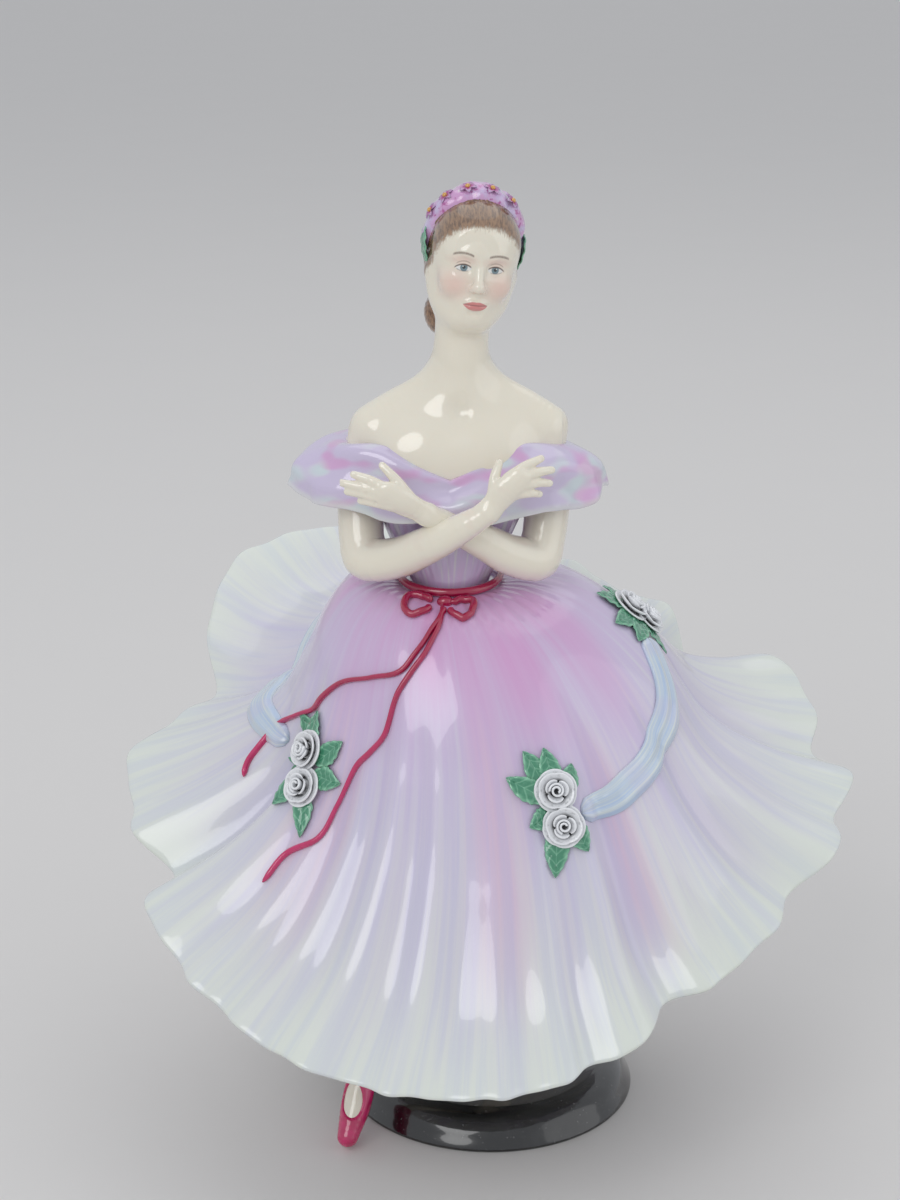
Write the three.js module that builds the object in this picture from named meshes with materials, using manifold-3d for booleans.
// A bone-china dancing lady: a hollow base, a swirling skirt over a petticoat, a bodice, crossed arms,
// a flowered headdress, and hand-laid trims of ribbon, swag, roses and leaves.
// Millimetres, +Z up, the origin at the middle of the base's underside, the figure facing -Y.
import * as THREE from "three";
import { mergeVertices } from "three/addons/utils/BufferGeometryUtils.js";
import Module from "manifold-3d";

const wasm = await Module();
wasm.setup();

// Driving dimensions
const CLAY_GAP = 0.3; // the joint between two neighbouring pieces
const FACET = 0.13; // how far a facet may stray from the true surface
const WAIST_X = -8; // the waist stands left of the base
const HEM_SLOPE = 0.55; // the hem lies in a plane that rises this much for each mm towards the back
const SKIRT_WALL = { waist: 1.4, hem: 1.5 };
const BASE = { radius: 29, topRadius: 24.5, height: 6.6, wall: 2, ventRadius: 2.5 };
const PLUG_RADIUS = 7.7;
const PLUG_FOOT = 92.5;
const BUST_SPLIT = 131.2;
const NECK_SPLIT = 148.6;
const PLEATS = 12;
const WAIST_RIBBON = {
  reachX: 9.4, reachY: 9.1, height: 109.8, dip: 0.9, halfWidth: 1.1, halfThickness: 0.95,
};
const KNOT = { place: [-8.9, -11.1, 107.6], radii: [1.7, 1.3, 1.5] };
const TAIL = { halfWidth: 0.75, halfThickness: 0.85, lift: 0.35 };
const LOOP = { halfWidth: 0.5, halfThickness: 0.6, lift: 0.55 };
const SWAG = { halfWidth: 2.8, halfThickness: 1.2, lift: 0.2 };
const SPRAY_PAD = { halfWidth: 3.6, halfThickness: 0.75, lift: 0.25, overhang: 0.4 };
const SPRAY_CLEARANCE = 3;
const FRILL_WALL = 1.3;
const UNDER_FRILL_WALL = 1.5;
const CROWN = { low: 90.2, high: 91.8, radius: 3 };
const VENT_PLACE = [14, 10];
const ROOM = 200; // bigger than the figure, for cutting blocks

const GLAZES = {
  skin: { color: 0xf2ead8, roughness: 0.16 },
  skirt: { color: 0xdcd2e2, roughness: 0.14 },
  bodice: { color: 0xc9a9cf, roughness: 0.14 },
  frill: { color: 0xcfc6e4, roughness: 0.14 },
  petticoat: { color: 0xf1ecf0, roughness: 0.2 },
  crimson: { color: 0xb01550, roughness: 0.15 },
  swag: { color: 0xbccbe2, roughness: 0.15 },
  rose: { color: 0xb9bbc4, roughness: 0.2 },
  leaf: { color: 0x3f9a6b, roughness: 0.2 },
  hair: { color: 0x9a7452, roughness: 0.25 },
  headdress: { color: 0xb79fd0, roughness: 0.2 },
  blossom: { color: 0xa5418f, roughness: 0.2 },
  base: { color: 0x0c0c0d, roughness: 0.1 },
};

const rad = THREE.MathUtils.degToRad;
const lerp = THREE.MathUtils.lerp;
const smoothstep = THREE.MathUtils.smoothstep;
const vec = (x, y, z) => new THREE.Vector3(x, y, z);

// ---------------------------------------------------------------- solids

// A closed triangle mesh as a manifold-3d solid, turned to face out.
function solid(geometry) {
  geometry.deleteAttribute("normal");
  geometry.deleteAttribute("uv");
  const merged = mergeVertices(geometry, 1e-4);
  const triVerts = new Uint32Array(merged.index.array);
  const positions = merged.attributes.position.array;
  let made = new wasm.Manifold(new wasm.Mesh({ numProp: 3, vertProperties: positions, triVerts }));
  if (made.volume() < 0) {
    for (let i = 0; i < triVerts.length; i += 3) {
      [triVerts[i + 1], triVerts[i + 2]] = [triVerts[i + 2], triVerts[i + 1]];
    }
    made = new wasm.Manifold(new wasm.Mesh({ numProp: 3, vertProperties: positions, triVerts }));
  }
  return made;
}

function gridGeometry(points, index) {
  const geometry = new THREE.BufferGeometry();
  const numbers = points.flatMap((p) => [p.x, p.y, p.z]);
  geometry.setAttribute("position", new THREE.Float32BufferAttribute(numbers, 3));
  geometry.setIndex(index);
  return geometry;
}

// Rings of points skinned into a closed solid, with a fan on each end.
function skin(rings) {
  const sides = rings[0].length;
  const points = rings.flat();
  const index = [];
  for (let row = 0; row < rings.length - 1; row += 1) {
    for (let i = 0; i < sides; i += 1) {
      const a = row * sides + i;
      const b = row * sides + ((i + 1) % sides);
      index.push(a, b, a + sides, b, b + sides, a + sides);
    }
  }
  for (const row of [0, rings.length - 1]) {
    const middle = rings[row].reduce((sum, p) => sum.add(p), vec(0, 0, 0)).divideScalar(sides);
    points.push(middle);
    for (let i = 0; i < sides; i += 1) {
      const a = row * sides + i;
      const b = row * sides + ((i + 1) % sides);
      index.push(...(row === 0 ? [b, a, points.length - 1] : [a, b, points.length - 1]));
    }
  }
  return solid(gridGeometry(points, index));
}

// A sheet of clay with a thickness: surface(u, v) is its outer face, u runs round it and v runs down it.
function sheet({ surface, thickness, columns, rows, wrap = true, grow = 0 }) {
  const lines = wrap ? columns : columns + 1;
  const around = 2 * (rows + 1);
  const points = [];
  for (let i = 0; i < lines; i += 1) {
    for (let j = 0; j < around; j += 1) {
      const inside = j > rows;
      const v = (inside ? around - 1 - j : j) / rows;
      const offset = inside ? -thickness(v) - grow : grow;
      points.push(offsetPoint(surface, i / columns, v, offset));
    }
  }
  const index = [];
  for (let i = 0; i < columns; i += 1) {
    for (let j = 0; j < around; j += 1) {
      const a = i * around + j;
      const b = ((i + 1) % lines) * around + j;
      const next = (j + 1) % around - j;
      index.push(a, b, a + next, b, b + next, a + next);
    }
  }
  if (!wrap) {
    for (let j = 0; j < rows; j += 1) {
      for (const start of [0, columns * around]) {
        const quad = [start + j, start + j + 1, start + around - 2 - j, start + around - 1 - j];
        const [a, b, c, d] = start === 0 ? quad : [...quad].reverse();
        index.push(a, b, c, a, c, d);
      }
    }
  }
  return solid(gridGeometry(points, index));
}

function offsetPoint(surface, u, v, offset) {
  const step = 1e-3;
  const across = surface(u + step, v).sub(surface(u - step, v));
  const down = surface(u, Math.min(v + step, 1)).sub(surface(u, Math.max(v - step, 0)));
  const normal = down.cross(across).normalize();
  return surface(u, v).addScaledVector(normal, offset);
}

// A limb through stations [x, y, z, radius across, radius along depth], with rounded ends.
function limb(stations, { sides = 14, steps = 4, depth = vec(0, 1, 0), grow = 0 } = {}) {
  const path = new THREE.CatmullRomCurve3(stations.map(([x, y, z]) => vec(x, y, z)), false, "centripetal");
  const girth = new THREE.CatmullRomCurve3(stations.map((s) => vec(s[3], s[4] ?? s[3], 0)));
  const count = (stations.length - 1) * steps;
  const rings = [];
  const ring = (t, shrink, push) => {
    const tangent = path.getTangent(t);
    const side = new THREE.Vector3().crossVectors(depth, tangent).normalize();
    const front = new THREE.Vector3().crossVectors(tangent, side);
    const size = girth.getPoint(t);
    const centre = path.getPoint(t).addScaledVector(tangent, push * Math.min(size.x, size.y));
    return Array.from({ length: sides }, (_, i) => {
      const a = (2 * Math.PI * i) / sides;
      return centre
        .clone()
        .addScaledVector(side, (size.x * shrink + grow) * Math.cos(a))
        .addScaledVector(front, (size.y * shrink + grow) * Math.sin(a));
    });
  };
  rings.push(ring(0, 0.45, -0.85));
  rings.push(ring(0, 0.85, -0.5));
  for (let k = 0; k <= count; k += 1) rings.push(ring(k / count, 1, 0));
  rings.push(ring(1, 0.85, 0.5));
  rings.push(ring(1, 0.45, 0.85));
  return skin(rings);
}

// Level ellipse sections [z, centre x, centre y, radius x, radius y] skinned from the bottom up.
function lathed(sections, { sides = 24, steps = 2, grow = 0 } = {}) {
  const middle = new THREE.CatmullRomCurve3(sections.map(([z, x, y]) => vec(x, y, z)), false, "centripetal");
  const girth = new THREE.CatmullRomCurve3(sections.map((s) => vec(s[3], s[4], 0)));
  const count = (sections.length - 1) * steps;
  const rings = [];
  for (let k = 0; k <= count; k += 1) {
    const centre = middle.getPoint(k / count);
    const size = girth.getPoint(k / count);
    rings.push(
      Array.from({ length: sides }, (_, i) => {
        const a = (2 * Math.PI * i) / sides;
        const reach = vec((size.x + grow) * Math.cos(a), (size.y + grow) * Math.sin(a), 0);
        return centre.clone().add(reach);
      }),
    );
  }
  return skin(rings);
}

function ball(centre, radii, { tilt = 0, grow = 0, segments = 16 } = {}) {
  const geometry = new THREE.SphereGeometry(1, segments, Math.round(segments * 0.6));
  geometry.scale(radii[0] + grow, radii[1] + grow, radii[2] + grow);
  geometry.rotateY(rad(tilt));
  geometry.translate(...centre);
  return solid(geometry);
}

function block(centre, size) {
  return solid(new THREE.BoxGeometry(...size).translate(...centre));
}

const join = (...solids) => wasm.Manifold.union(solids);
const cut = (from, ...tools) => tools.reduce((left, tool) => left.subtract(tool), from);

// The largest body of a cut piece, because a cut can leave crumbs.
function largest(made) {
  return made.decompose().reduce((a, b) => (b.volume() > a.volume() ? b : a));
}

// ---------------------------------------------------------------- skirt

// Meridians of the skirt every 45 degrees, from behind round by the left:
// [radius, height] from waist to hem.
const MERIDIANS = [
  [[9.4, 109], [15, 110], [22, 108.6], [29, 103.5], [36, 98], [43, 94], [51, 94.5], [58, 99]],
  [[9.4, 109], [15, 110], [22, 108.6], [29, 103.5], [36, 97], [46, 92], [59, 92.5], [72, 98.5]],
  [[9.4, 108.6], [15, 109.3], [22, 107.6], [29, 101], [35, 92], [42.5, 82], [56, 74.5], [72, 68.5]],
  [[9.4, 108.2], [15, 107.5], [22, 102], [28, 93.5], [34, 82], [42, 67], [54, 51.5], [69.5, 41]],
  [[9.4, 108], [15, 105.8], [21, 100], [27, 91], [32.5, 79], [40, 62], [50, 44], [63, 32.5]],
  [[9.4, 108.2], [15, 107], [22, 102], [28, 93.5], [34.5, 82], [42, 67], [50.5, 54], [59.5, 45]],
  [[9.4, 108.5], [15, 109], [22, 107.2], [29, 101.5], [35.5, 93.5], [43.5, 81.5], [56.5, 74], [72, 69]],
  [[9.4, 109], [15, 109.5], [22, 108.2], [29, 103], [36, 95], [43, 88.5], [51, 86.5], [58, 88]],
];

// Folds: angle at the hem (0 is the front, 90 the right), half width in degrees, rise off the surface,
// reach of the hem, where down the skirt it starts, and how many degrees it swings on its way up.
const FOLDS = [
  { angle: -170, width: 8, rise: -2, reach: -2, start: 0.45, swing: 0 },
  { angle: -123, width: 6, rise: -1, reach: -3.5, start: 0.45, swing: 4 },
  { angle: -110, width: 8.5, rise: -2.8, reach: -13.5, start: 0.4, swing: -4 },
  { angle: -100, width: 4, rise: -1, reach: -2, start: 0.55, swing: 0 },
  { angle: -84, width: 4, rise: -1, reach: -1.5, start: 0.5, swing: 0 },
  { angle: -74, width: 4, rise: -4.5, reach: -6, start: 0.42, swing: 8 },
  { angle: -57, width: 3.5, rise: -1.6, reach: -0.8, start: 0.45, swing: 8 },
  { angle: -48, width: 4, rise: -2.4, reach: -1.2, start: 0.35, swing: 8 },
  { angle: -39, width: 4, rise: -2.2, reach: -1, start: 0.3, swing: 8 },
  { angle: -24, width: 5, rise: -1.6, reach: -0.9, start: 0.35, swing: 5 },
  { angle: -8, width: 5, rise: -1.4, reach: -0.7, start: 0.4, swing: 2 },
  { angle: 6, width: 4, rise: -1, reach: -0.4, start: 0.5, swing: 0 },
  { angle: 18, width: 4, rise: -1.9, reach: -1.4, start: 0.4, swing: 0 },
  { angle: 35.5, width: 4.5, rise: -3, reach: -3.6, start: 0.32, swing: -3 },
  { angle: 47, width: 4, rise: -1, reach: -0.3, start: 0.5, swing: -6 },
  { angle: 66, width: 5, rise: -3.2, reach: -3, start: 0.42, swing: -8 },
  { angle: 82, width: 5, rise: -1.6, reach: -3, start: 0.5, swing: -4 },
  { angle: 97, width: 5, rise: -2.8, reach: -5.5, start: 0.42, swing: -8 },
  { angle: 108, width: 3, rise: -1, reach: -0.8, start: 0.6, swing: 0 },
  { angle: 114, width: 8, rise: 3.6, reach: 0, start: 0.5, swing: 0 },
  { angle: 126, width: 7, rise: -5, reach: -9, start: 0.4, swing: 4 },
  { angle: 150, width: 7, rise: -2, reach: -1.5, start: 0.45, swing: 0 },
  { angle: 170, width: 6, rise: -2, reach: -1.5, start: 0.45, swing: 0 },
];

const MERIDIAN_CURVES = MERIDIANS.map(
  (points) => new THREE.CatmullRomCurve3(points.map(([r, z]) => vec(r, z, 0)), false, "catmullrom", 0.5),
);

// Radius and height of the smooth skirt, before its folds.
function skirtProfile(angle, down) {
  const turn = THREE.MathUtils.euclideanModulo(angle + 180, 360) / 45;
  const first = Math.floor(turn);
  const t = turn - first;
  const at = [-1, 0, 1, 2].map((k) => MERIDIAN_CURVES[(first + k + 8) % 8].getPoint(down));
  const blend = (a, b, c, d) =>
    0.5 * (2 * b + (c - a) * t + (2 * a - 5 * b + 4 * c - d) * t * t + (3 * b - a - 3 * c + d) * t ** 3);
  return new THREE.Vector2(blend(...at.map((p) => p.x)), blend(...at.map((p) => p.y)));
}

function skirtPoint(angle, down) {
  const step = 1e-3;
  const below = skirtProfile(angle, Math.min(down + step, 1));
  const along = below.sub(skirtProfile(angle, Math.max(down - step, 0)));
  const normal = new THREE.Vector2(-along.y, along.x).normalize();
  const place = skirtProfile(angle, down);
  let reach = 0;
  for (const fold of FOLDS) {
    const turned = angle - fold.angle - fold.swing * (1 - down);
    const away = THREE.MathUtils.euclideanModulo(turned + 180, 360) - 180;
    const ridge = Math.exp(-((away / fold.width) ** 2));
    const grown = THREE.MathUtils.clamp((down - fold.start) / (1 - fold.start), 0, 1);
    place.addScaledVector(normal, fold.rise * ridge * smoothstep(down, fold.start, 1));
    reach += fold.reach * ridge * grown ** 2;
  }
  const a = rad(angle);
  const radius = place.x + reach;
  const middle = WAIST_X * (1 - smoothstep(down, 0, 0.8));
  const height = place.y - HEM_SLOPE * reach * Math.cos(a);
  return vec(middle + radius * Math.sin(a), -radius * Math.cos(a), height);
}

const skirtSurface = (u, v) => skirtPoint(360 * u - 180, v);

function skirtSolid(grow = 0) {
  const thickness = (v) => lerp(SKIRT_WALL.waist, SKIRT_WALL.hem, v);
  return sheet({ surface: skirtSurface, thickness, columns: 96, rows: 10, grow });
}

// A place on the skirt with its own axes: out of the clay, down the skirt and across it.
function skirtFrame(angle, down, lift = 0) {
  const u = (angle + 180) / 360;
  const origin = offsetPoint(skirtSurface, u, down, lift);
  const out = offsetPoint(skirtSurface, u, down, lift + 1).sub(origin).normalize();
  const slope = skirtPoint(angle, down + 0.02).sub(skirtPoint(angle, down - 0.02)).normalize();
  const across = new THREE.Vector3().crossVectors(slope, out).normalize();
  return { origin, out, slope: new THREE.Vector3().crossVectors(out, across), across };
}

// A strip of clay laid on the skirt through [angle, down] places.
function skirtStrip(places, { halfWidth, halfThickness, lift }, steps, grow = 0) {
  const route = new THREE.CatmullRomCurve3(places.map(([angle, down]) => vec(angle, down * 100, 0)));
  const count = places.length * steps;
  const spots = Array.from({ length: count + 1 }, (_, k) => {
    const spot = route.getPoint(k / count);
    return skirtFrame(spot.x, spot.y / 100, lift);
  });
  const rings = spots.map(({ origin, out }, k) => {
    const before = spots[Math.max(k - 1, 0)].origin;
    const along = spots[Math.min(k + 1, count)].origin.clone().sub(before).normalize();
    const side = new THREE.Vector3().crossVectors(out, along).normalize();
    const taper = Math.min(1, 0.5 + Math.min(k, count - k) * 0.5);
    return Array.from({ length: 8 }, (_, i) => {
      const a = (2 * Math.PI * i) / 8;
      return origin
        .clone()
        .addScaledVector(side, (halfWidth + grow) * taper * Math.cos(a))
        .addScaledVector(out, (halfThickness + grow) * taper * Math.sin(a));
    });
  });
  return skin(rings);
}

// ---------------------------------------------------------------- trims on the skirt

const RIBBON_TAILS = {
  ribbon_tail_left: [[-16, 0.2], [-24, 0.29], [-31, 0.352], [-44, 0.398], [-58, 0.462], [-70, 0.576],
    [-77, 0.64], [-83, 0.71], [-81, 0.77], [-78, 0.8]],
  ribbon_tail_right: [[-8, 0.12], [-12, 0.2], [-18, 0.272], [-25, 0.34], [-30, 0.395], [-32, 0.429],
    [-35, 0.502], [-40, 0.555], [-45, 0.598], [-48, 0.668], [-50, 0.73], [-56, 0.782], [-57, 0.837]],
};

const BOW_LOOPS = {
  bow_loop_left: [[-17, 0.06], [-28, 0.04], [-40, 0.07], [-38, 0.14], [-31, 0.172], [-22, 0.14],
    [-17, 0.1]],
  bow_loop_right: [[0, 0.06], [10, 0.04], [20, 0.06], [16, 0.115], [7, 0.15], [1, 0.13], [-2, 0.1]],
};

const SWAG_BANDS = {
  swag_band_right: [[86, 0.5], [81, 0.545], [75, 0.585], [67, 0.612], [56, 0.62], [45, 0.624],
    [34, 0.634]],
  swag_band_left: [[-132, 0.62], [-118, 0.7], [-106, 0.74], [-95, 0.75], [-86, 0.73], [-76, 0.69]],
  swag_band_back: [[108, 0.5], [122, 0.55], [140, 0.59], [160, 0.6], [180, 0.59], [200, 0.56]],
};

// Each spray: two roses, and the leaves that fan out from under them.
const SPRAYS = {
  front: {
    roses: [[22, 0.588], [22, 0.641]],
    leaves: [[16, 0.53], [10, 0.567], [14, 0.631], [18, 0.693], [28, 0.564], [26, 0.671], [22, 0.53]],
  },
  left: {
    roses: [[-63, 0.637], [-60, 0.69]],
    leaves: [[-73, 0.63], [-65, 0.585], [-53, 0.585], [-51, 0.64], [-72, 0.705], [-65, 0.742],
      [-56, 0.735]],
  },
  right: {
    roses: [[96, 0.447], [99, 0.51]],
    leaves: [[92, 0.37], [103, 0.4], [83, 0.42], [84, 0.48], [92, 0.56], [108, 0.48], [106, 0.55]],
  },
  back: {
    roses: [[-149, 0.5], [-146, 0.555]],
    leaves: [[-153, 0.44], [-141, 0.45], [-158, 0.5], [-137, 0.52], [-156, 0.57], [-138, 0.59],
      [-147, 0.62]],
  },
};
const ROSE = { radius: 3.1, height: 3, lift: 1.3 };
const LEAF = { width: 1.9, thickness: 0.9 };

// A rose bud: five scalloped petals round a closed heart.
function rose([angle, down], grow = 0) {
  const { origin, out, slope, across } = skirtFrame(angle, down, ROSE.lift);
  const place = new THREE.Matrix4().makeBasis(slope, across, out).setPosition(origin);
  const outline = [[0.72, 0], [1, 0.3], [0.94, 0.66], [0.66, 0.86], [0.5, 1], [0.2, 0.92]];
  const rings = outline.map(([r, h], row) =>
    Array.from({ length: 15 }, (_, i) => {
      const a = (2 * Math.PI * i) / 15;
      const scallop = 1 + 0.07 * Math.cos(5 * a + row * 0.8);
      const radius = ROSE.radius * r * scallop + grow;
      const height = ROSE.height * h + (row === 0 ? -grow : grow);
      return vec(radius * Math.cos(a), radius * Math.sin(a), height).applyMatrix4(place);
    }),
  );
  return skin(rings);
}

// The leaves of a spray, joined on a small pad of clay and cut to lie on the skirt.
function leafCluster({ roses, leaves }, skirtCutter) {
  const middle = roses[0].map((value, k) => (value + roses[1][k]) / 2);
  const heart = skirtFrame(...middle, 0.4);
  const pieces = leaves.map((leaf) => {
    const tip = skirtFrame(...leaf, 0.5);
    const start = heart.origin.clone().lerp(tip.origin, 0.25).addScaledVector(tip.out, 0.1);
    const end = tip.origin.clone().addScaledVector(tip.out, 0.2);
    const waist = start.clone().lerp(end, 0.55).addScaledVector(tip.out, 0.2);
    const { width, thickness } = LEAF;
    const stations = [
      [...start.toArray(), width * 0.7, thickness],
      [...waist.toArray(), width, thickness],
      [...end.toArray(), width * 0.3, thickness * 0.5],
    ];
    return limb(stations, { sides: 6, steps: 1, depth: tip.out });
  });
  const reach = roses[1].map((value, k) => (value - roses[0][k]) * SPRAY_PAD.overhang);
  const ends = [roses[0].map((value, k) => value - reach[k]), roses[1].map((value, k) => value + reach[k])];
  const pad = skirtStrip([ends[0], middle, ends[1]], SPRAY_PAD, 2);
  return largest(cut(join(pad, ...pieces), skirtCutter, ...roses.map((place) => rose(place, CLAY_GAP))));
}

// ---------------------------------------------------------------- body

const BODY_SECTIONS = [
  [PLUG_FOOT, -8, 0, PLUG_RADIUS, PLUG_RADIUS], [101, -8, 0, PLUG_RADIUS, PLUG_RADIUS],
  [109.6, -8, 0, PLUG_RADIUS, PLUG_RADIUS], [111.5, -8, 0, 8.9, 7.6], [117, -8, 0, 11.4, 8.2],
  [123, -7.8, -0.4, 13.8, 9.2], [129, -7.6, 0, 15, 9], [135, -7.2, 0.5, 17, 8.4], [139.5, -6.8, 1, 15.5, 7.4],
  [143, -6.2, 1.2, 11, 6.4], [147, -6.2, 1.2, 6.6, 5.6], [151, -6.2, 1.2, 5.2, 5],
];
const SHOULDER_LINE = [
  [-24.6, 1.4, 133.6, 4.2, 4.6], [-19, 1.4, 137.6, 4.6, 5], [-12, 1.2, 140, 4.6, 5.2],
  [-6.6, 1.2, 141, 4.6, 5.2], [-1.5, 1.2, 140.4, 4.6, 5.2], [4.5, 1.4, 138, 4.6, 5],
  [9.8, 1.4, 134.2, 4.2, 4.6],
];
const RIGHT_ARM = {
  arm: [[-24.4, 1, 131.5, 4.7], [-25, -1.2, 123, 4.5], [-23.9, -5.6, 115, 4.5], [-18.3, -9.6, 115.8, 4.2],
    [-11.7, -14, 119.9, 3.7], [-5.8, -16.6, 123.8, 3.1], [-1.2, -17.8, 127, 2.4, 2.2]],
  palm: [[-0.8, -17.8, 127.6, 2.3, 2], [2, -17.8, 131, 3, 1.7], [4.4, -17.2, 133.2, 3.1, 1.4]],
  fingers: [
    [[2.6, -17.5, 133.6, 1.1], [5.6, -16.9, 135.6, 1.05], [8.6, -15.8, 136.8, 0.8]],
    [[4.2, -17.3, 133.2, 1.1], [7.6, -16.8, 134.4, 1.05], [10.6, -15.6, 134.6, 0.8]],
    [[4.8, -17.2, 131.8, 1.1], [7.8, -16.8, 132.5, 1], [10.2, -16, 132.2, 0.8]],
    [[4.2, -17.2, 130.4, 1], [6.6, -16.9, 130.6, 0.95], [8.4, -16.2, 130.2, 0.75]],
    [[-0.2, -17.6, 130.6, 1.2], [0.2, -16.8, 133.6, 1.1], [1, -15.8, 136, 0.8]],
  ],
};
const LEFT_ARM = {
  arm: [[10, 1, 131.5, 4.6], [10.4, -1.2, 123, 4.4], [8.6, -5.4, 114.8, 4.4], [3.6, -8.4, 116, 4.1],
    [-1.6, -10.8, 119.4, 3.6], [-7.4, -12.6, 122.8, 3], [-12, -14.8, 125.8, 2.4, 2.2]],
  palm: [[-12.6, -15.2, 126.2, 2.3, 2], [-16.4, -16.6, 128.6, 3, 1.7], [-19.4, -17, 130.4, 3, 1.4]],
  fingers: [
    [[-19.4, -17, 131.4, 1.1], [-22.8, -16.6, 133, 1], [-25.6, -15.8, 133.8, 0.8]],
    [[-20, -17, 130.4, 1.1], [-24, -16.6, 131.6, 1], [-28, -15.6, 132.2, 0.8]],
    [[-19.8, -17, 129.2, 1.1], [-23.4, -16.6, 130.2, 1], [-26.8, -16, 130.6, 0.8]],
    [[-18.8, -16.8, 128, 1], [-21.6, -16.6, 128.6, 0.95], [-24.4, -16.2, 128.9, 0.75]],
    [[-15.6, -16.4, 130, 1.2], [-18, -16.2, 133, 1.1], [-20.4, -15.4, 135.4, 0.8]],
  ],
};

function body(grow = 0) {
  return join(lathed(BODY_SECTIONS, { grow }), limb(SHOULDER_LINE, { sides: 14, steps: 1, grow }));
}

function arm({ arm: sleeve, palm, fingers }, grow = 0) {
  const parts = [limb(sleeve, { sides: 12, steps: 2, grow }), limb(palm, { sides: 8, steps: 1, grow })];
  for (const finger of fingers) parts.push(limb(finger, { sides: 5, steps: 1, grow }));
  return join(...parts);
}

// The off-the-shoulder frill: [angle, height of the top edge, height of the lower edge, reach x, reach y].
const FRILL_STATIONS = [
  [-180, 137.5, 127, 27, 12.6], [-135, 137.2, 127, 28.6, 13.4], [-100, 136.4, 128, 30.4, 13.6],
  [-75, 136, 127, 30.2, 13.2], [-40, 136.8, 124.8, 28.6, 13.4], [0, 132.2, 123.6, 27, 14],
  [40, 136.8, 124.8, 28.6, 13.4], [75, 136, 125.6, 30.2, 13.2], [100, 135.4, 127, 30.4, 13.6],
  [135, 137.2, 127, 28.6, 13.4],
];
const FRILL_MIDDLE = { x: -8, y: 0.8 };
const FRILL_TOP = { reachX: 19.4, reachY: 9.2 };
const FRILL_WAVES = 12;

function frillStation(angle) {
  const turned = THREE.MathUtils.euclideanModulo(angle + 180, 360) - 180;
  const stations = [...FRILL_STATIONS, [180, ...FRILL_STATIONS[0].slice(1)]];
  const k = stations.findIndex((s, i) => i > 0 && turned <= s[0]);
  const before = stations[k - 1];
  const after = stations[k];
  const t = smoothstep(turned, before[0], after[0]);
  return before.map((value, i) => lerp(value, after[i], t));
}

// From the top edge on the shoulders (v = 0) over a soft crest to the lower edge (v = 1).
function frillSurface(u, v) {
  const angle = 360 * u - 180;
  const [, top, bottom, reachX, reachY] = frillStation(angle);
  const out = Math.sin((v * Math.PI) / 2) ** 0.8;
  const wave = 0.5 * v * Math.sin(rad(angle) * FRILL_WAVES);
  const a = rad(angle);
  const x = lerp(FRILL_TOP.reachX, reachX, out) + wave;
  const y = lerp(FRILL_TOP.reachY, reachY, out) + wave;
  const crest = 1.1 * Math.sin(Math.PI * Math.min(1, v * 1.5)) * (1 - v);
  const height = lerp(top, bottom, v ** 1.25) + crest;
  return vec(FRILL_MIDDLE.x + x * Math.sin(a), FRILL_MIDDLE.y - y * Math.cos(a), height);
}

// ---------------------------------------------------------------- head

const HEAD_TILT = 7;
const NECK = [
  [-6.2, 1.4, 150.6, 5, 5], [-6, 1.2, 154, 4.8, 4.8], [-5.5, 1, 160, 4.8, 5], [-5, 1, 164.5, 4.7, 4.9],
];
const HEAD_BALLS = [
  [[-4.2, 3, 173.8], [8.7, 10.6, 9.9]], // skull
  [[-4, -1.2, 167.8], [7, 7.4, 9.8]], // face
  [[-4, -9.4, 167.8], [1.1, 1.5, 2]], // nose
];
const HAIR_BALL = [[-4.2, 3.4, 173.8], [9.4, 11.2, 10.5]];
const BUN_BALL = [[-8, 10.8, 158.7], [5.4, 4.8, 5.6]];
const BAND_BALL = [[-4.2, 3.2, 174], [10.6, 11.9, 12]];
const NAPE = 161; // the hair ends here
const HEAD_MIDDLE = vec(-4, 1, 170.2);
const HAIR_LEAN = 38.3; // the hairline leans back this much from upright
const HAIRLINE = -2.3; // places along a lean, from the head's middle
const BAND_LEAN = 22;
const BAND_FRONT = 0.9;
const BAND_BACK = 8.1;
const BAND_FOOT = 167.4;
const BLOSSOM_ANGLES = [-52, -28, -4, 20, 44];
const BAND_LEAF = { angles: [72, 88, 104], widths: [1, 1.9, 0.8], thickness: 0.5, lift: 0.85 };

function head(grow = 0) {
  const balls = HEAD_BALLS.map(([centre, radii]) => ball(centre, radii, { tilt: HEAD_TILT, grow }));
  return join(limb(NECK, { sides: 12, steps: 2, grow }), ...balls);
}

// Everything behind a plane across the head that leans back.
function behind(place, lean) {
  const box = new THREE.BoxGeometry(ROOM, ROOM, ROOM).translate(0, place + ROOM / 2, 0);
  return solid(box.rotateX(rad(lean)).translate(...HEAD_MIDDLE.toArray()));
}

function hairCap(grow = 0) {
  const cap = ball(...HAIR_BALL, { tilt: HEAD_TILT, grow, segments: 16 });
  const under = block([0, 0, NAPE - grow - ROOM / 2], [ROOM, ROOM, ROOM]);
  return cut(cap.intersect(behind(HAIRLINE - grow, HAIR_LEAN)), under);
}

// The wide band of the headdress, across the head from side to side.
function headBand(grow = 0) {
  const shell = ball(...BAND_BALL, { tilt: HEAD_TILT, grow, segments: 20 });
  const strip = shell.intersect(behind(BAND_FRONT - grow, BAND_LEAN));
  const under = block([0, 0, BAND_FOOT - grow - ROOM / 2], [ROOM, ROOM, ROOM]);
  return cut(strip, behind(BAND_BACK + grow, BAND_LEAN), under);
}

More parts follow.
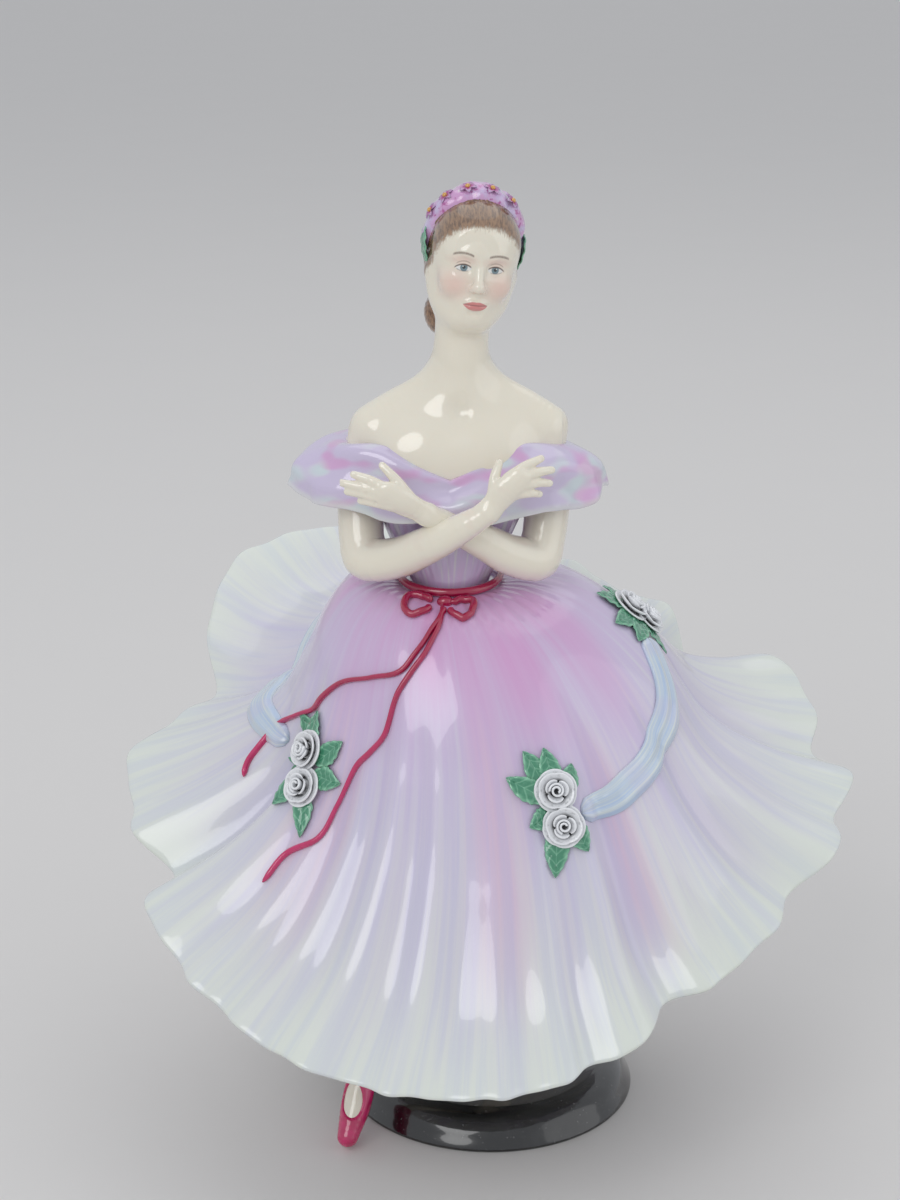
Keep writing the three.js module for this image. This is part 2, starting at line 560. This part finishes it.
// A place on the middle line of the band, angle degrees down from its top, and the way out from it.
function onBand(angle, lift) {
  const [centre, radii] = BAND_BALL;
  const lean = rad(BAND_LEAN);
  const across = Math.sin(rad(angle));
  const up = Math.cos(rad(angle));
  const way = vec(across, -up * Math.sin(lean), up * Math.cos(lean));
  const reach = 1 / Math.hypot(way.x / radii[0], way.y / radii[1], way.z / radii[2]);
  const out = vec(way.x / radii[0] ** 2, way.y / radii[1] ** 2, way.z / radii[2] ** 2).normalize();
  return { place: vec(...centre).addScaledVector(way, reach).addScaledVector(out, lift), out };
}

const BLOSSOM = { petals: 5, radius: 1.7, thickness: 0.7, lift: 0.35 };

// A five-petalled blossom that faces along a direction.
function blossom(centre, facing) {
  const outline = new THREE.Shape();
  for (let i = 0; i < 15; i += 1) {
    const a = (2 * Math.PI * i) / 15;
    const r = BLOSSOM.radius * (0.78 + 0.22 * Math.cos(BLOSSOM.petals * a));
    outline[i === 0 ? "moveTo" : "lineTo"](r * Math.cos(a), r * Math.sin(a));
  }
  const geometry = new THREE.ExtrudeGeometry(outline, { depth: BLOSSOM.thickness, bevelEnabled: false });
  const turn = new THREE.Quaternion().setFromUnitVectors(vec(0, 0, 1), facing.clone().normalize());
  geometry.applyQuaternion(turn);
  geometry.translate(centre.x, centre.y, centre.z);
  return solid(geometry);
}

// ---------------------------------------------------------------- legs, petticoat and base

const SUPPORTING_LEG = [
  [-3.5, 3, 86, 5.6], [-2, 4, 66, 5.2], [0, 5.4, 48, 3.9], [1.4, 7, 34, 4.1], [2.2, 8.6, 22, 2.8],
  [2.6, 9.2, 15.2, 2.3],
];
const SUPPORTING_SLIPPER = [
  [2.8, 9.8, 10, 2.7, 2.6], [4.4, 5, 9.6, 3, 2.2], [6.4, -2, 8.8, 3, 1.7], [8, -7, 8.5, 2.1, 1.4],
];
const LEADING_LEG = [
  [-12.5, -2.4, 86, 5.2], [-15, -6.4, 66, 5], [-19, -11, 49, 3.9], [-21.8, -14.4, 36, 3.9],
  [-24.2, -18, 22, 2.5], [-25, -19.6, 16.5, 2.3],
];
const LEADING_SLIPPER = [
  [-25.4, -20.6, 11.6, 3, 2.8], [-26.6, -23.8, 7, 3, 2.6], [-28, -27.6, 2.5, 2.4, 1.9],
];

const SOLE = 0.4; // the leading toe clears the table by this much

const PETTICOAT_PROFILE = [[0.5, 91.9], [8, 91.2], [18, 84.5], [27, 70], [33.5, 53], [39.5, 36]];
const PETTICOAT_MIDDLE = { top: [-8, 0], hem: [-1, 3] };
const PETTICOAT_WALL = 1.8;
const PETTICOAT_TOP = 91.9;
const PETTICOAT_DROP = 56;
const PLEAT_DEPTH = { petticoat: 1.1, frill: 1.2 };
const UNDER_FRILL_PROFILE = [[24.5, 62], [29, 52], [33, 42], [38, 30.5]];

function pleatedSurface(profile, depthOfPleats) {
  const curve = new THREE.CatmullRomCurve3(profile.map(([r, z]) => vec(r, z, 0)));
  return (u, v) => {
    const p = curve.getPoint(v);
    const a = 2 * Math.PI * u;
    const radius = p.x + depthOfPleats * v ** 1.5 * Math.sin(a * PLEATS);
    const drop = THREE.MathUtils.clamp((PETTICOAT_TOP - p.y) / PETTICOAT_DROP, 0, 1);
    const x = lerp(PETTICOAT_MIDDLE.top[0], PETTICOAT_MIDDLE.hem[0], drop);
    const y = lerp(PETTICOAT_MIDDLE.top[1], PETTICOAT_MIDDLE.hem[1], drop);
    return vec(x + radius * Math.sin(a), y - radius * Math.cos(a), p.y);
  };
}

function basePlinth() {
  const { radius, topRadius, height, wall } = BASE;
  const rim = height * 0.35;
  const outer = [
    [0, 0], [radius, 0], [radius + 0.3, rim], [radius - 1.2, height * 0.75], [topRadius, height], [0, height],
  ];
  const inner = [
    [0, wall], [radius - 2.5, wall], [radius - 3, height - 3.2], [topRadius - 2, height - 2], [0, height - 2],
  ];
  const turned = (points) => {
    const geometry = new THREE.LatheGeometry(points.map(([r, z]) => new THREE.Vector2(r, z)), 40);
    return solid(geometry.rotateX(Math.PI / 2));
  };
  const vent = new THREE.CylinderGeometry(BASE.ventRadius, BASE.ventRadius, 3 * wall, 24);
  vent.rotateX(Math.PI / 2).translate(...VENT_PLACE, wall / 2);
  return cut(turned(outer), turned(inner), solid(vent));
}

// ---------------------------------------------------------------- assembly

const figure = new THREE.Group();

function add(name, made, glaze) {
  const simple = largest(made.simplify(FACET));
  const { vertProperties, triVerts } = simple.getMesh();
  const geometry = new THREE.BufferGeometry();
  geometry.setAttribute("position", new THREE.BufferAttribute(new Float32Array(vertProperties), 3));
  geometry.setIndex([...triVerts]);
  geometry.computeVertexNormals();
  const mesh = new THREE.Mesh(geometry, new THREE.MeshStandardMaterial({ ...GLAZES[glaze], metalness: 0 }));
  mesh.name = name;
  figure.add(mesh);
}

const skirt = skirtSolid();
const skirtCutter = skirtSolid(CLAY_GAP + FACET / 2);

function addBody() {
  const rightArm = arm(RIGHT_ARM);
  const rightArmCutter = arm(RIGHT_ARM, CLAY_GAP);
  const leftArm = largest(cut(arm(LEFT_ARM), rightArmCutter));
  const leftArmCutter = arm(LEFT_ARM, CLAY_GAP);
  const torso = cut(body(), rightArmCutter, leftArmCutter);
  const halfGap = CLAY_GAP / 2;
  const above = block([0, 0, BUST_SPLIT + halfGap + ROOM / 2], [ROOM, ROOM, ROOM]);
  const below = block([0, 0, BUST_SPLIT - halfGap - ROOM / 2], [ROOM, ROOM, ROOM]);
  const neckUp = block([0, 0, NECK_SPLIT + ROOM / 2], [ROOM, ROOM, ROOM]);
  add("bodice", largest(torso.intersect(below)), "bodice");
  add("shoulders", largest(cut(torso.intersect(above), neckUp)), "skin");
  add("right_arm", rightArm, "skin");
  add("left_arm", leftArm, "skin");
  const frill = sheet({ surface: frillSurface, thickness: () => FRILL_WALL, columns: 56, rows: 5 });
  add("collar_frill", largest(cut(frill, body(CLAY_GAP), rightArmCutter, leftArmCutter)), "frill");
}

function addHead() {
  const below = block([0, 0, NECK_SPLIT + CLAY_GAP - ROOM / 2], [ROOM, ROOM, ROOM]);
  const headCutter = head(CLAY_GAP);
  const bandCutter = headBand(CLAY_GAP);
  const bun = ball(...BUN_BALL);
  const bunCutter = ball(...BUN_BALL, { grow: CLAY_GAP });
  const hair = largest(cut(hairCap(), head(2 * CLAY_GAP), bandCutter, bunCutter));
  add("head", cut(head(), below), "skin");
  add("hair", hair, "hair");
  add("hair_bun", largest(cut(bun, headCutter)), "hair");
  add("headdress_band", largest(cut(headBand(), headCutter)), "headdress");
  BLOSSOM_ANGLES.forEach((angle, i) => {
    const { place, out } = onBand(angle, BLOSSOM.lift);
    add(`headdress_blossom_${i + 1}`, blossom(place, out), "blossom");
  });
  for (const [name, side] of Object.entries({ headdress_leaf_left: -1, headdress_leaf_right: 1 })) {
    const stations = BAND_LEAF.angles.map((angle, k) => {
      const { place } = onBand(side * angle, BAND_LEAF.lift);
      return [...place.toArray(), BAND_LEAF.widths[k], BAND_LEAF.thickness];
    });
    const { out } = onBand(side * BAND_LEAF.angles[1], 0);
    add(name, largest(cut(limb(stations, { sides: 8, steps: 2, depth: out }), bandCutter)), "leaf");
  }
}

// The ribbon round the waist, a ring that dips at the front.
function waistRing() {
  const { reachX, reachY, height, dip, halfWidth, halfThickness } = WAIST_RIBBON;
  const lines = 24;
  const sides = 8;
  const points = [];
  const index = [];
  for (let i = 0; i < lines; i += 1) {
    const a = (2 * Math.PI * i) / lines;
    for (let k = 0; k < sides; k += 1) {
      const b = (2 * Math.PI * k) / sides;
      const reach = 1 + (halfThickness * Math.cos(b)) / reachX;
      const z = height - dip * Math.cos(a) + halfWidth * Math.sin(b);
      points.push(vec(WAIST_X + reachX * reach * Math.sin(a), -reachY * reach * Math.cos(a), z));
      const next = (k + 1) % sides;
      const row = i * sides;
      const nextRow = ((i + 1) % lines) * sides;
      index.push(row + k, nextRow + k, row + next, row + next, nextRow + k, nextRow + next);
    }
  }
  return solid(gridGeometry(points, index));
}

function addRibbon() {
  const bodyCutter = body(CLAY_GAP);
  const waistRibbon = waistRing();
  const knot = ball(KNOT.place, KNOT.radii, { segments: 14 });
  const knotCutter = ball(KNOT.place, KNOT.radii, { segments: 14, grow: CLAY_GAP });
  const rimCutter = skirtCutter.translate([0, 0, CLAY_GAP]);
  const ribbonTools = [bodyCutter, skirtCutter, rimCutter, knotCutter];
  add("waist_ribbon", largest(cut(waistRibbon, ...ribbonTools)), "crimson");
  add("bow_knot", largest(cut(knot, skirtCutter)), "crimson");
  for (const [name, places] of Object.entries(BOW_LOOPS)) {
    add(name, largest(cut(skirtStrip(places, LOOP, 2), knotCutter, skirtCutter)), "crimson");
  }
  const tails = Object.entries(RIBBON_TAILS).map(([name, places]) => [
    name, skirtStrip(places, TAIL, 1), skirtStrip(places, TAIL, 1, CLAY_GAP),
  ]);
  const [left, right] = tails;
  add(right[0], largest(cut(right[1], skirtCutter, knotCutter)), "crimson");
  add(left[0], largest(cut(left[1], skirtCutter, right[2], knotCutter)), "crimson");
  return tails.map((tail) => tail[2]);
}

function addTrims(tailCutters) {
  for (const [side, spray] of Object.entries(SPRAYS)) {
    add(`leaves_${side}`, leafCluster(spray, skirtCutter), "leaf");
    spray.roses.forEach((place, k) => {
      const others = spray.roses.slice(0, k).map((other) => rose(other, CLAY_GAP));
      add(`rose_${side}_${k + 1}`, largest(cut(rose(place), skirtCutter, ...others)), "rose");
    });
  }
  const sprayCutters = Object.values(SPRAYS).map((spray) => {
    const spots = spray.leaves.concat(spray.roses).map(([angle, down]) => skirtFrame(angle, down).origin);
    const radii = [SPRAY_CLEARANCE, SPRAY_CLEARANCE, SPRAY_CLEARANCE];
    return spots.map((p) => ball(p.toArray(), radii, { segments: 10 }));
  });
  for (const [name, places] of Object.entries(SWAG_BANDS)) {
    const band = skirtStrip(places, SWAG, 2);
    add(name, largest(cut(band, skirtCutter, ...sprayCutters.flat(), ...tailCutters)), "swag");
  }
}

function addUnderSkirt() {
  add("skirt", skirt, "skirt");
  const wall = () => PETTICOAT_WALL;
  const cone = pleatedSurface(PETTICOAT_PROFILE, PLEAT_DEPTH.petticoat);
  const coneShell = sheet({ surface: cone, thickness: wall, columns: 48, rows: 5 });
  const crownRings = [CROWN.low, CROWN.high].map((z) => [z, WAIST_X, 0, CROWN.radius, CROWN.radius]);
  const crown = lathed(crownRings, { sides: 16, steps: 1 });
  add("petticoat", largest(join(coneShell, crown)), "petticoat");
  const under = pleatedSurface(UNDER_FRILL_PROFILE, PLEAT_DEPTH.frill);
  const underWall = () => UNDER_FRILL_WALL;
  add("petticoat_frill", sheet({ surface: under, thickness: underWall, columns: 48, rows: 3 }), "petticoat");
  const ankles = [
    limb(SUPPORTING_LEG, { sides: 12, steps: 2, grow: CLAY_GAP }),
    limb(LEADING_LEG, { sides: 12, steps: 2, grow: CLAY_GAP }),
  ];
  const roof = join(
    sheet({ surface: cone, thickness: wall, columns: 48, rows: 5, grow: 2 * CLAY_GAP }),
    crown.translate([0, 0, -2 * CLAY_GAP]),
  );
  add("supporting_leg", largest(cut(limb(SUPPORTING_LEG, { sides: 12, steps: 2 }), roof)), "skin");
  add("leading_leg", largest(cut(limb(LEADING_LEG, { sides: 12, steps: 2 }), roof, ankles[0])), "skin");
  const ground = block([0, 0, SOLE - ROOM / 2], [ROOM, ROOM, ROOM]);
  const baseTop = block([0, 0, BASE.height + CLAY_GAP - ROOM / 2], [ROOM, ROOM, ROOM]);
  const supportingSlipper = limb(SUPPORTING_SLIPPER, { sides: 12, steps: 3 });
  const leadingSlipper = limb(LEADING_SLIPPER, { sides: 12, steps: 3 });
  add("supporting_slipper", largest(cut(supportingSlipper, ankles[0], baseTop)), "crimson");
  add("leading_slipper", largest(cut(leadingSlipper, ankles[1], ground)), "crimson");
  add("base_plinth", basePlinth(), "base");
}

addUnderSkirt();
addBody();
addHead();
const tailCutters = addRibbon();
addTrims(tailCutters);

export default figure;
